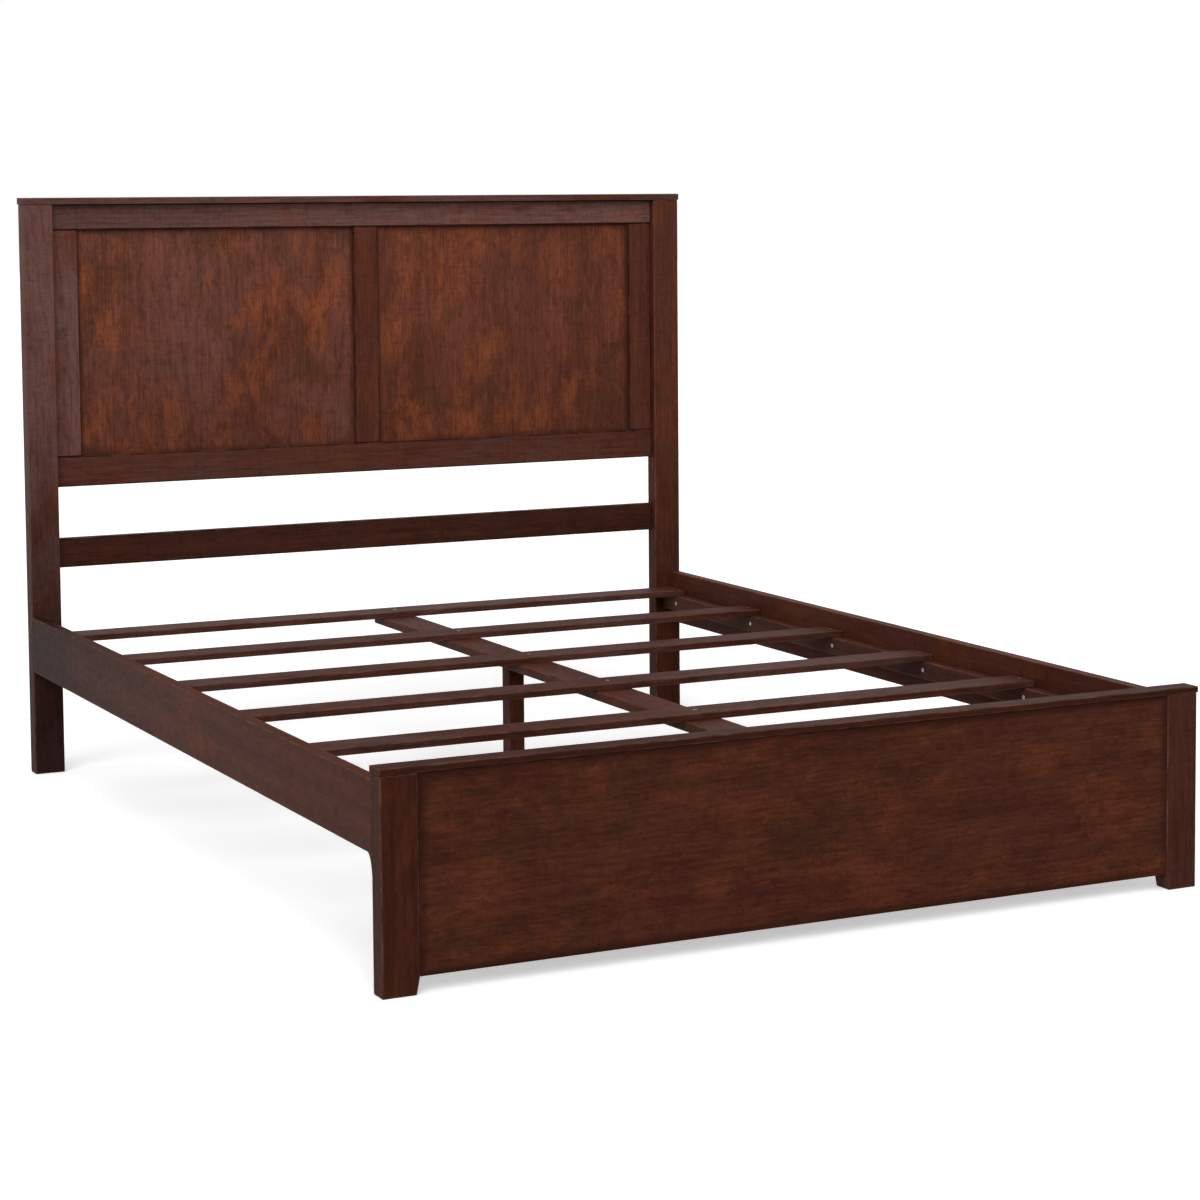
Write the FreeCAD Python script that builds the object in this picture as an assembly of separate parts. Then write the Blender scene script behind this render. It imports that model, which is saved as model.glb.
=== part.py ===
"""Panel bed: framed headboard, low solid footboard, hooked side rails, slats, centre beam and leg.

Units are mm. X runs across the bed, +Y points to the headboard and +Z points up. The origin lies on
the floor under the middle of the bed. Right-hand pieces are built first and mirrored to the left.
"""
import FreeCAD, Part
import os

V = FreeCAD.Vector

# Mattress and the room around it
mattress_width = 1524.0
mattress_length = 2032.0
mattress_side_gap = 19.0
mattress_end_gap = 14.0

# Posts of both boards
post_width = 66.0
post_depth = 40.0
post_edge_radius = 2.5
headboard_height = 1279.0
footboard_height = 376.0
foot_height = 30.0
foot_taper = 6.0

# Caps along the top of both boards
head_cap_thickness = 15.0
foot_cap_thickness = 12.0
cap_overhang = 2.0
cap_edge_radius = 2.0

# Headboard frame, measured from the posts' front faces
frame_setback = 18.0
stile_thickness = 22.0
stile_width = 60.0
rail_proud = 1.5
top_rail_height = 56.0
bottom_rail_height = 67.0
bottom_rail_underside = 637.0
crossbar_height = 65.0
crossbar_underside = 457.0
frame_edge_radius = 1.2

# Headboard panels and the grooves that hold them
panel_thickness = 6.0
panel_recess = 11.0
groove_depth = 8.0
panel_groove_gap = 1.0

# Tenons on the ends of the headboard's rails and crossbar
tenon_length = 20.0
tenon_thickness = 10.0
tenon_shoulder = 12.0

# Footboard panel
foot_panel_thickness = 22.0
foot_panel_setback = 0.8
foot_tongue_length = 10.0
foot_tongue_thickness = 8.0
foot_tongue_shoulder = 20.0

# Side rails
rail_thickness = 24.0
rail_height = 122.0
rail_underside = 230.0
rail_edge_radius = 2.0
rail_curve_length = 20.0
rail_curve_drop = 42.0
# Share of a quarter curve's sides at which a four-point curve is closest to an ellipse
quarter_pull = 0.5523

# Ledgers that carry the slats
ledger_width = 24.0
ledger_height = 38.0
ledger_end_gap = 2.0
slat_bed_height = 302.0

# Slats, counted from the headboard
slat_count = 6
slat_width = 77.0
slat_thickness = 14.0
slat_end_gap = 3.0
slat_head_gap = 4.0
slat_foot_gap = 74.0
slat_edge_radius = 2.0

# Beam under the slats, a little right of the middle
beam_offset = 37.0
beam_width = 78.0
beam_thickness = 19.0
beam_end_inset = 6.0
beam_edge_radius = 1.5

# Leg under the beam, behind one of the slats, and its screw foot
leg_size = 36.0
leg_slat = 3
leg_slat_gap = 27.0
leg_edge_radius = 2.0
base_radius = 15.0
base_height = 10.0
base_edge = 1.5
base_gap = 0.3
base_socket_depth = 6.0
stem_radius = 4.0
stem_fit = 0.05
stem_length = 34.0
insert_wall = 2.0
insert_length = 16.0
stem_room = 3.0

# Hooked plates in the rail ends, slotted plates in the posts
plate_width = 16.0
plate_thickness = 2.5
hook_plate_height = 100.0
slot_plate_height = 120.0
hook_thickness = 3.0
hook_neck_height = 12.0
hook_drop = 8.0
hook_reach = 10.0
hook_nose = 4.0
hook_pitch = 44.0
hook_offset = -6.0
slot_play = 1.0
slot_lift = 2.0

# Wood screws
screw_radius = 2.0
screw_head_radius = 4.2
screw_head_depth = 2.2
screw_play = 0.1
plate_screw_length = 25.0
plate_screw_edge = 7.0
slat_screw_length = 40.0
beam_screw_length = 30.0
ledger_screw_length = 38.0
ledger_screw_offset = 31.0
leg_screw_length = 60.0
leg_screw_spread = 20.0

# Places that follow from the sizes
inner_width = mattress_width + 2 * mattress_side_gap
inner_length = mattress_length + 2 * mattress_end_gap
rail_inner_x = inner_width / 2
post_outer_x = rail_inner_x + rail_thickness
post_inner_x = post_outer_x - post_width
rail_mid_x = rail_inner_x + rail_thickness / 2
head_front_y = inner_length / 2
head_back_y = head_front_y + post_depth
foot_back_y = -inner_length / 2
foot_front_y = foot_back_y - post_depth

head_post_top = headboard_height - head_cap_thickness
foot_post_top = footboard_height - foot_cap_thickness
stile_front_y = head_front_y + frame_setback
frame_back_y = stile_front_y + stile_thickness
frame_rail_front_y = stile_front_y - rail_proud
tenon_mid_y = (frame_rail_front_y + frame_back_y) / 2
groove_y0 = stile_front_y + panel_recess
groove_y1 = groove_y0 + panel_thickness
top_rail_underside = head_post_top - top_rail_height
bottom_rail_top = bottom_rail_underside + bottom_rail_height
stile_centre_right_x = post_inner_x - stile_width / 2

foot_panel_front_y = foot_front_y + foot_panel_setback
foot_panel_mid_y = foot_panel_front_y + foot_panel_thickness / 2
rail_top = rail_underside + rail_height
rail_mid_z = rail_underside + rail_height / 2
ledger_inner_x = rail_inner_x - ledger_width
ledger_mid_x = rail_inner_x - ledger_width / 2
ledger_mid_z = slat_bed_height - ledger_height / 2
slat_top = slat_bed_height + slat_thickness
first_slat_y = head_front_y - slat_head_gap - slat_width / 2
last_slat_y = foot_back_y + slat_foot_gap + slat_width / 2
slat_pitch = (first_slat_y - last_slat_y) / (slat_count - 1)
slat_ys = [first_slat_y - slat_pitch * number for number in range(slat_count)]
leg_y = slat_ys[leg_slat - 1] + slat_width / 2 + leg_slat_gap + leg_size / 2
beam_underside = slat_bed_height - beam_thickness
leg_bottom = base_height + base_gap

# How the fastenings are spread
plate_centre_z = rail_mid_z
hook_zs = [plate_centre_z + hook_offset + side * hook_pitch / 2 for side in (-1, 1)]
hook_screw_zs = [plate_centre_z + side * (hook_plate_height / 2 - plate_screw_edge) for side in (-1, 1)]
slot_screw_zs = [plate_centre_z + side * (slot_plate_height / 2 - plate_screw_edge) for side in (-1, 1)]
hook_depth = plate_thickness + hook_reach
# Each end of a rail: the plane where it meets the post and the way into the post
rail_ends = ((head_front_y, 1), (foot_back_y, -1))


def box(x0, x1, y0, y1, z0, z1):
    """Box between two corners, given in any order along Y."""
    low_y = min(y0, y1)
    return Part.makeBox(x1 - x0, abs(y1 - y0), z1 - z0, V(x0, low_y, z0))


def mirrored(shape):
    """The same piece for the other side of the bed."""
    return shape.mirror(V(0, 0, 0), V(1, 0, 0))


def on_both_sides(shapes):
    """Right-hand shapes together with their left-hand copies."""
    return shapes + [mirrored(shape) for shape in shapes]


def with_parts(base, extras):
    """One solid made of a base and what grows out of it."""
    return base.fuse(extras).removeSplitter()


def eased(shape, radius, direction, wanted=None):
    """Round the straight edges that run along a direction, all of them or the wanted ones."""
    edges = []
    for edge in shape.Edges:
        run = edge.valueAt(edge.LastParameter) - edge.valueAt(edge.FirstParameter)
        if run.Length < 1e-6 or run.cross(direction).Length > 1e-6 * run.Length:
            continue
        if wanted is None or wanted(edge.CenterOfMass):
            edges.append(edge)
    return shape.makeFillet(radius, edges)


def screw(head, direction, length):
    """Countersunk wood screw whose flat head is centred at a point."""
    cone = Part.makeCone(screw_head_radius, screw_radius, screw_head_depth, head, direction)
    shank_start = head + direction * screw_head_depth
    shank = Part.makeCylinder(screw_radius, length - screw_head_depth, shank_start, direction)
    return cone.fuse(shank).removeSplitter()


def screw_hole(head, direction, length):
    """Room for a screw in the pieces that it passes through."""
    radius = screw_radius + screw_play
    head_radius = screw_head_radius + screw_play
    cone = Part.makeCone(head_radius, radius, screw_head_depth + screw_play, head, direction)
    shank = Part.makeCylinder(radius, length + screw_play, head, direction)
    return cone.fuse(shank)


# Where each kind of screw goes: head point, direction, length

def hook_screw_places(end_y, way):
    """Screws that run from a rail's end into the rail."""
    return [(V(rail_mid_x, end_y, z), V(0, -way, 0), plate_screw_length) for z in hook_screw_zs]


def slot_screw_places(end_y, way):
    """Screws that run from a slotted plate into the post."""
    return [(V(rail_mid_x, end_y, z), V(0, way, 0), plate_screw_length) for z in slot_screw_zs]


def slat_end_screw_places():
    """Screws through the slats' right ends into the ledger."""
    return [(V(ledger_mid_x, y, slat_top), V(0, 0, -1), slat_screw_length) for y in slat_ys]


def slat_beam_screw_places():
    """Screws through the slats into the centre beam."""
    return [(V(beam_offset, y, slat_top), V(0, 0, -1), beam_screw_length) for y in slat_ys]


def ledger_screw_places():
    """Screws through the right ledger into its rail."""
    return [
        (V(ledger_inner_x, y - ledger_screw_offset, ledger_mid_z), V(1, 0, 0), ledger_screw_length)
        for y in slat_ys
    ]


def leg_screw_places():
    """Screws through the beam into the top of the leg."""
    return [
        (V(beam_offset + side * leg_screw_spread / 2, leg_y, slat_bed_height), V(0, 0, -1), leg_screw_length)
        for side in (-1, 1)
    ]


def holes(places):
    """Screw holes at a list of places."""
    return [screw_hole(*place) for place in places]


def screws(places):
    """Screws at a list of places."""
    return [screw(*place) for place in places]


# Rail hardware

def hook(end_y, way, z):
    """Hook that reaches through a slot and drops behind the plate; z is its neck's underside."""
    x0 = rail_mid_x - hook_thickness / 2
    x1 = rail_mid_x + hook_thickness / 2
    tip_y = end_y + way * hook_depth
    nose_y = tip_y - way * hook_nose
    neck = box(x0, x1, end_y - way * plate_thickness, tip_y, z, z + hook_neck_height)
    nose = box(x0, x1, nose_y, tip_y, z - hook_drop, z + hook_neck_height)
    return neck.fuse(nose)


def hook_plate(end_y, way):
    """Steel plate let into a rail's end, with two hooks."""
    x0 = rail_mid_x - plate_width / 2
    x1 = rail_mid_x + plate_width / 2
    z0 = plate_centre_z - hook_plate_height / 2
    plate = box(x0, x1, end_y - way * plate_thickness, end_y, z0, z0 + hook_plate_height)
    plate = with_parts(plate, [hook(end_y, way, z) for z in hook_zs])
    return plate.cut(holes(hook_screw_places(end_y, way)))


def slot(end_y, way, z):
    """Slot in the post's plate; the hook's neck rests on its lower end."""
    half = hook_thickness / 2 + slot_play
    top = z + hook_neck_height + hook_drop + slot_lift
    return box(rail_mid_x - half, rail_mid_x + half, end_y, end_y + way * plate_thickness, z, top)


def hook_pocket(end_y, way, z):
    """Room in the post behind a slot, where the hook hangs."""
    half = hook_thickness / 2 + slot_play
    low = z - hook_drop - slot_play
    top = z + hook_neck_height + hook_drop + slot_lift
    deep_y = end_y + way * (hook_depth + slot_play)
    return box(rail_mid_x - half, rail_mid_x + half, end_y, deep_y, low, top)


def slot_plate(end_y, way):
    """Slotted steel plate let into a post."""
    x0 = rail_mid_x - plate_width / 2
    x1 = rail_mid_x + plate_width / 2
    z0 = plate_centre_z - slot_plate_height / 2
    plate = box(x0, x1, end_y, end_y + way * plate_thickness, z0, z0 + slot_plate_height)
    slots = [slot(end_y, way, z) for z in hook_zs]
    return plate.cut(slots + holes(slot_screw_places(end_y, way)))


def post_hardware_room(end_y, way):
    """What the hardware takes out of a post."""
    x0 = rail_mid_x - plate_width / 2
    x1 = rail_mid_x + plate_width / 2
    z0 = plate_centre_z - slot_plate_height / 2
    rebate = box(x0, x1, end_y, end_y + way * plate_thickness, z0, z0 + slot_plate_height)
    pockets = [hook_pocket(end_y, way, z) for z in hook_zs]
    return [rebate] + pockets + holes(slot_screw_places(end_y, way))


def rail_hardware_room(end_y, way):
    """What the hardware takes out of a side rail's end."""
    x0 = rail_mid_x - plate_width / 2
    x1 = rail_mid_x + plate_width / 2
    z0 = plate_centre_z - hook_plate_height / 2
    rebate = box(x0, x1, end_y - way * plate_thickness, end_y, z0, z0 + hook_plate_height)
    return [rebate] + holes(hook_screw_places(end_y, way))


# Headboard

def end_tenon(z0, z1):
    """Tenon on the right end of a headboard rail, and the room for it in the post."""
    y0 = tenon_mid_y - tenon_thickness / 2
    y1 = tenon_mid_y + tenon_thickness / 2
    x1 = post_inner_x + tenon_length
    return box(post_inner_x, x1, y0, y1, z0 + tenon_shoulder, z1 - tenon_shoulder)


def head_post():
    """Right headboard post, from the floor to the cap, with its mortises."""
    shape = box(post_inner_x, post_outer_x, head_front_y, head_back_y, 0, head_post_top)
    shape = eased(shape, post_edge_radius, V(0, 0, 1))
    mortises = [
        end_tenon(top_rail_underside, head_post_top),
        end_tenon(bottom_rail_underside, bottom_rail_top),
        end_tenon(crossbar_underside, crossbar_underside + crossbar_height),
    ]
    return shape.cut(mortises + post_hardware_room(head_front_y, 1))


def head_cap():
    """Flat board along the top of the headboard."""
    x = post_outer_x + cap_overhang
    shape = box(-x, x, head_front_y - cap_overhang, head_back_y + cap_overhang, head_post_top, headboard_height)
    return shape.makeFillet(cap_edge_radius, shape.Edges)


def head_rail(z0, z1):
    """Board between the headboard posts with a tenon at each end."""
    shape = box(-post_inner_x, post_inner_x, frame_rail_front_y, frame_back_y, z0, z1)
    shape = eased(shape, frame_edge_radius, V(1, 0, 0), lambda c: c.y < tenon_mid_y)
    return with_parts(shape, on_both_sides([end_tenon(z0, z1)]))


def head_top_rail():
    """Top rail of the panel frame, grooved along its underside."""
    groove = box(-post_inner_x, post_inner_x, groove_y0, groove_y1, top_rail_underside, top_rail_underside + groove_depth)
    return head_rail(top_rail_underside, head_post_top).cut(groove)


def head_bottom_rail():
    """Bottom rail of the panel frame, grooved along its top."""
    groove = box(-post_inner_x, post_inner_x, groove_y0, groove_y1, bottom_rail_top - groove_depth, bottom_rail_top)
    return head_rail(bottom_rail_underside, bottom_rail_top).cut(groove)


def head_crossbar():
    """Plain board below the open gap."""
    return head_rail(crossbar_underside, crossbar_underside + crossbar_height)


def stile(centre_x, grooved_sides):
    """Upright of the panel frame with a stub tenon at each end and grooves for the panels."""
    x0 = centre_x - stile_width / 2
    x1 = centre_x + stile_width / 2
    low = bottom_rail_top - groove_depth
    high = top_rail_underside + groove_depth
    body = box(x0, x1, stile_front_y, frame_back_y, bottom_rail_top, top_rail_underside)
    body = eased(body, frame_edge_radius, V(0, 0, 1), lambda c: c.y < groove_y0)
    tongue = box(x0, x1, groove_y0, groove_y1, low, high)
    shape = with_parts(body, [tongue])
    for side in grooved_sides:
        edge_x = centre_x + side * stile_width / 2
        inner_x = edge_x - side * groove_depth
        shape = shape.cut(box(min(edge_x, inner_x), max(edge_x, inner_x), groove_y0, groove_y1, low, high))
    return shape


def head_panel():
    """Right flat panel, held in the grooves around it."""
    hold = groove_depth - panel_groove_gap
    x0 = stile_width / 2 - hold
    x1 = post_inner_x - stile_width + hold
    return box(x0, x1, groove_y0, groove_y1, bottom_rail_top - hold, top_rail_underside + hold)


# Footboard

def foot_tongue():
    """Tongue on the right end of the footboard panel, and the groove for it in the post."""
    y0 = foot_panel_mid_y - foot_tongue_thickness / 2
    y1 = foot_panel_mid_y + foot_tongue_thickness / 2
    x1 = post_inner_x + foot_tongue_length
    return box(post_inner_x, x1, y0, y1, foot_height + foot_tongue_shoulder, foot_post_top - foot_tongue_shoulder)


def foot_post():
    """Right footboard post; the inner side of its foot tapers in towards the floor."""
    shape = box(post_inner_x, post_outer_x, foot_front_y, foot_back_y, 0, foot_post_top)
    shape = eased(shape, post_edge_radius, V(0, 0, 1))
    corners = [
        V(post_inner_x, foot_front_y, foot_height),
        V(post_inner_x, foot_front_y, 0),
        V(post_inner_x + foot_taper, foot_front_y, 0),
        V(post_inner_x, foot_front_y, foot_height),
    ]
    wedge = Part.Face(Part.makePolygon(corners)).extrude(V(0, post_depth, 0))
    return shape.cut([wedge, foot_tongue()] + post_hardware_room(foot_back_y, -1))


def foot_cap():
    """Flat board along the top of the footboard."""
    x = post_outer_x + cap_overhang
    shape = box(-x, x, foot_front_y - cap_overhang, foot_back_y + cap_overhang, foot_post_top, footboard_height)
    return shape.makeFillet(cap_edge_radius, shape.Edges)


def foot_panel():
    """Flat board between the footboard posts."""
    back_y = foot_panel_front_y + foot_panel_thickness
    shape = box(-post_inner_x, post_inner_x, foot_panel_front_y, back_y, foot_height, foot_post_top)
    shape = eased(shape, frame_edge_radius, V(1, 0, 0), lambda c: c.z < rail_mid_z)
    return with_parts(shape, on_both_sides([foot_tongue()]))


# Sides

def rail_curve(start, end):
    """Hollow curve from a rail's level underside to the post's upright face."""
    along = V(0, (end.y - start.y) * quarter_pull, 0)
    up = V(0, 0, (start.z - end.z) * quarter_pull)
    curve = Part.BezierCurve()
    curve.setPoles([start, start + along, end + up, end])
    return curve.toShape()


def side_rail():
    """Right side rail; at the footboard its underside curves down the post."""
    x = rail_inner_x
    curve_start = V(x, foot_back_y + rail_curve_length, rail_underside)
    curve_end = V(x, foot_back_y, rail_underside - rail_curve_drop)
    corner_foot = V(x, foot_back_y, rail_top)
    corner_head = V(x, head_front_y, rail_top)
    corner_under = V(x, head_front_y, rail_underside)
    outline = [
        Part.makeLine(corner_foot, corner_head),
        Part.makeLine(corner_head, corner_under),
        Part.makeLine(corner_under, curve_start),
        rail_curve(curve_start, curve_end),
        Part.makeLine(curve_end, corner_foot),
    ]
    shape = Part.Face(Part.Wire(outline)).extrude(V(rail_thickness, 0, 0))
    shape = eased(shape, rail_edge_radius, V(0, 1, 0), lambda c: c.z > rail_mid_z)
    room = []
    for end_y, way in rail_ends:
        room += rail_hardware_room(end_y, way)
    return shape.cut(room + holes(ledger_screw_places()))


def slat_ledger():
    """Right cleat that the slats lie on."""
    y0 = foot_back_y + ledger_end_gap
    y1 = head_front_y - ledger_end_gap
    shape = box(ledger_inner_x, rail_inner_x, y0, y1, slat_bed_height - ledger_height, slat_bed_height)
    return shape.cut(holes(ledger_screw_places() + slat_end_screw_places()))


def slat(number):
    """One slat across the ledgers and the beam."""
    y = slat_ys[number - 1]
    x = rail_inner_x - slat_end_gap
    shape = box(-x, x, y - slat_width / 2, y + slat_width / 2, slat_bed_height, slat_top)
    shape = eased(shape, slat_edge_radius, V(1, 0, 0))
    end_hole = screw_hole(*slat_end_screw_places()[number - 1])
    beam_hole = screw_hole(*slat_beam_screw_places()[number - 1])
    return shape.cut([beam_hole] + on_both_sides([end_hole]))


def centre_beam():
    """Flat board under the middle of the slats."""
    y0 = slat_ys[-1] - slat_width / 2 + beam_end_inset
    y1 = slat_ys[0] + slat_width / 2 - beam_end_inset
    x0 = beam_offset - beam_width / 2
    shape = box(x0, x0 + beam_width, y0, y1, beam_underside, slat_bed_height)
    shape = eased(shape, beam_edge_radius, V(0, 1, 0), lambda c: c.z < slat_bed_height - beam_thickness / 2)
    return shape.cut(holes(slat_beam_screw_places() + leg_screw_places()))


# Centre leg and screw foot

def centre_leg():
    """Square leg under the beam, bored for the threaded insert and the stem above it."""
    x0 = beam_offset - leg_size / 2
    y0 = leg_y - leg_size / 2
    shape = box(x0, x0 + leg_size, y0, y0 + leg_size, leg_bottom, beam_underside)
    shape = eased(shape, leg_edge_radius, V(0, 0, 1))
    foot = V(beam_offset, leg_y, leg_bottom)
    insert_room = Part.makeCylinder(stem_radius + stem_fit + insert_wall, insert_length, foot)
    bore_depth = stem_length - base_socket_depth + stem_room
    stem_bore = Part.makeCylinder(stem_radius + stem_fit, bore_depth, foot)
    return shape.cut([insert_room, stem_bore] + holes(leg_screw_places()))


def threaded_insert():
    """Metal sleeve in the leg's end, which the stem screws through."""
    foot = V(beam_offset, leg_y, leg_bottom)
    outside = Part.makeCylinder(stem_radius + stem_fit + insert_wall, insert_length, foot)
    return outside.cut(Part.makeCylinder(stem_radius + stem_fit, insert_length, foot))


def leveller_stem():
    """Screw of the adjustable foot, set in its base."""
    bottom = base_height - base_socket_depth
    return Part.makeCylinder(stem_radius, stem_length, V(beam_offset, leg_y, bottom))


def leveller_base():
    """Round foot of the screw, which stands on the floor."""
    shape = Part.makeCylinder(base_radius, base_height, V(beam_offset, leg_y, 0))
    shape = shape.makeChamfer(base_edge, [edge for edge in shape.Edges if edge.Closed and edge.Length > base_radius])
    socket_bottom = V(beam_offset, leg_y, base_height - base_socket_depth)
    return shape.cut(Part.makeCylinder(stem_radius, base_socket_depth, socket_bottom))


# Fastenings as groups of separate pieces

def all_hook_plates():
    """The four hooked plates."""
    return Part.Compound(on_both_sides([hook_plate(y, way) for y, way in rail_ends]))


def all_slot_plates():
    """The four slotted plates."""
    return Part.Compound(on_both_sides([slot_plate(y, way) for y, way in rail_ends]))


def all_rail_plate_screws():
    """Two screws in each hooked plate."""
    places = []
    for end_y, way in rail_ends:
        places += hook_screw_places(end_y, way)
    return Part.Compound(on_both_sides(screws(places)))


def all_post_plate_screws():
    """Two screws in each slotted plate."""
    places = []
    for end_y, way in rail_ends:
        places += slot_screw_places(end_y, way)
    return Part.Compound(on_both_sides(screws(places)))


def all_ledger_screws():
    """Screws that hold both ledgers to their rails."""
    return Part.Compound(on_both_sides(screws(ledger_screw_places())))


def all_slat_screws():
    """Two screws in the ends of each slat and one into the beam."""
    ends = on_both_sides(screws(slat_end_screw_places()))
    return Part.Compound(ends + screws(slat_beam_screw_places()))


def all_leg_screws():
    """Screws that hold the beam on the leg."""
    return Part.Compound(screws(leg_screw_places()))


def bed_nodes():
    """Every node of the bed by name."""
    nodes = {
        "headboard_right_post": head_post(),
        "headboard_cap": head_cap(),
        "headboard_top_rail": head_top_rail(),
        "headboard_bottom_rail": head_bottom_rail(),
        "headboard_crossbar": head_crossbar(),
        "headboard_left_stile": stile(-stile_centre_right_x, (1,)),
        "headboard_centre_stile": stile(0, (-1, 1)),
        "headboard_right_stile": stile(stile_centre_right_x, (-1,)),
        "headboard_right_panel": head_panel(),
        "footboard_right_post": foot_post(),
        "footboard_cap": foot_cap(),
        "footboard_panel": foot_panel(),
        "right_side_rail": side_rail(),
        "right_slat_ledger": slat_ledger(),
        "centre_beam": centre_beam(),
        "centre_leg": centre_leg(),
        "leg_threaded_insert": threaded_insert(),
        "leveller_stem": leveller_stem(),
        "leveller_base": leveller_base(),
        "rail_hook_plates": all_hook_plates(),
        "post_slot_plates": all_slot_plates(),
        "rail_plate_screws": all_rail_plate_screws(),
        "post_plate_screws": all_post_plate_screws(),
        "ledger_screws": all_ledger_screws(),
        "slat_screws": all_slat_screws(),
        "leg_screws": all_leg_screws(),
    }
    for name in list(nodes):
        if "right_" in name and "stile" not in name:
            nodes[name.replace("right_", "left_")] = mirrored(nodes[name])
    for number in range(1, slat_count + 1):
        nodes["slat_%d" % number] = slat(number)
    return nodes


def write_nodes(nodes):
    """Save each node under its own name."""
    os.makedirs("parts", exist_ok=True)
    for name, shape in nodes.items():
        print("%-24s solids %2d valid %s volume %.0f" % (name, len(shape.Solids), shape.isValid(), shape.Volume))
        shape.exportStep("parts/%s.step" % name)


write_nodes(bed_nodes())
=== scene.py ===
"""Panel bed: stained wood, lacquer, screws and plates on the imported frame, with a white stage.

Lengths are metres in the frame's own axes: X across the bed, +Y to the headboard, +Z up.
"""

import math

import bmesh
import bpy
from mathutils import Euler, Matrix, Vector


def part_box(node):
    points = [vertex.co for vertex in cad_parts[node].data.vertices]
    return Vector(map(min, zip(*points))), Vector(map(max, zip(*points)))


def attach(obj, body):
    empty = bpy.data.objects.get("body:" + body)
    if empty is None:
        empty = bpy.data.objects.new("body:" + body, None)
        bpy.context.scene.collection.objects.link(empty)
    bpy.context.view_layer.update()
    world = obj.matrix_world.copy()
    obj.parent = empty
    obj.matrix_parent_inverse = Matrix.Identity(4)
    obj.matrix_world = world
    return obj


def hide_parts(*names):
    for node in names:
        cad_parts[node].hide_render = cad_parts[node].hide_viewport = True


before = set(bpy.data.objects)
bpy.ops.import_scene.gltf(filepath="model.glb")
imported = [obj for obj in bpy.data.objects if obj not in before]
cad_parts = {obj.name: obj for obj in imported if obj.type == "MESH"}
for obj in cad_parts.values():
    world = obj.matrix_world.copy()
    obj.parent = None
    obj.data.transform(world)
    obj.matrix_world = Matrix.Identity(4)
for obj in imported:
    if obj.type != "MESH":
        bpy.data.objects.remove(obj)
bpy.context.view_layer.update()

bl_info = {
    "name": "Panel bed",
    "version": (1, 0, 0),
    "blender": (4, 5, 0),
    "location": "3D View > Sidebar > Panel Bed",
    "description": "Stained wooden panel bed with slats, screws and a white stage",
    "category": "Object",
}

FIXED = "bed_frame"
MOVING = "leg_leveller"
X_AXIS, Y_AXIS, Z_AXIS = 0, 1, 2


# ---------------------------------------------------------------- sizes and colours

def length_setting(name, description, default, least=0.0002):
    """Setting that holds a length."""
    return bpy.props.FloatProperty(
        name=name, description=description, unit="LENGTH", min=least, default=default)


def angle_setting(name, description, degrees):
    """Setting that holds an angle, given in degrees."""
    return bpy.props.FloatProperty(
        name=name, description=description, subtype="ANGLE", default=math.radians(degrees))


def colour_setting(name, description, default):
    """Setting that holds a colour."""
    return bpy.props.FloatVectorProperty(
        name=name, description=description, subtype="COLOR", size=3, min=0, max=1, default=default)


def strength_setting(name, description, default):
    """Setting that holds the strength of a light."""
    return bpy.props.FloatProperty(name=name, description=description, min=0, default=default)


def share_setting(name, description, default):
    """Setting that holds a share from 0 to 1."""
    return bpy.props.FloatProperty(name=name, description=description, min=0, max=1, default=default)


class BedFinish(bpy.types.PropertyGroup):
    """Stain and lacquer of all the wood, and the painted sheen, shade and highlight on it."""

    deep_tone: colour_setting("Deep tone", "Stain where the grain is darkest", (0.0310, 0.0086, 0.0052))
    body_tone: colour_setting("Body tone", "Stain over most of the wood", (0.0800, 0.0215, 0.0115))
    warm_tone: colour_setting("Warm tone", "Orange-brown where the stain is thin", (0.1700, 0.0460, 0.0160))
    # Painted sheen: this pale grey-pink stands in for the lacquer's reflection of the lights
    painted_sheen_tone: colour_setting("Cool tone", "Pale grey-pink bloom of the lacquer", (0.1080, 0.0540, 0.0490))
    shadow_tone: colour_setting("Shadow tone", "Olive-brown where the stain pooled", (0.0460, 0.0185, 0.0100))
    # The tone below is partly rubbed wood and partly a painted highlight along the eased edges
    wear_and_highlight_tone: colour_setting("Wear tone", "Rubbed wood along the eased edges", (0.17, 0.075, 0.050))
    # Glazing and painted shade: the width says how far both reach in from a panel's edges
    glaze_and_shade_width: length_setting(
        "Glaze width", "How far the darker glaze reaches in from a panel's edges", 0.022, least=0.001)
    lacquer_roughness: share_setting("Lacquer roughness", "Roughness of the satin lacquer", 0.52)
    grain_depth: length_setting("Grain depth", "Depth of the open grain under the lacquer", 0.00035, least=0)


class BedBoards(bpy.types.PropertyGroup):
    """Sizes of the boards' edges."""

    post_edge: length_setting("Post edge", "Radius on the posts' edges", 0.0025)
    cap_edge: length_setting("Cap edge", "Radius round the caps", 0.0022)
    frame_edge: length_setting("Frame edge", "Radius on the headboard's rails and stiles", 0.0026)
    panel_edge: length_setting("Panel edge", "Radius on the flat panels", 0.001)
    rail_edge: length_setting("Rail edge", "Radius on the side rails", 0.002)
    slat_edge: length_setting("Slat edge", "Radius along the slats", 0.002)
    foot_height: length_setting(
        "Foot height", "Floor to the footboard panel's lower edge", 0.030, least=0.001)
    foot_taper: length_setting(
        "Foot taper", "How far the foot's inner side draws in at the floor", 0.006, least=0)
    rail_curve_length: length_setting(
        "Curve length", "Length of the curve under a side rail's foot end", 0.020, least=0.001)
    rail_curve_drop: length_setting(
        "Curve drop", "Height of the curve under a side rail's foot end", 0.042, least=0.001)


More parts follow.
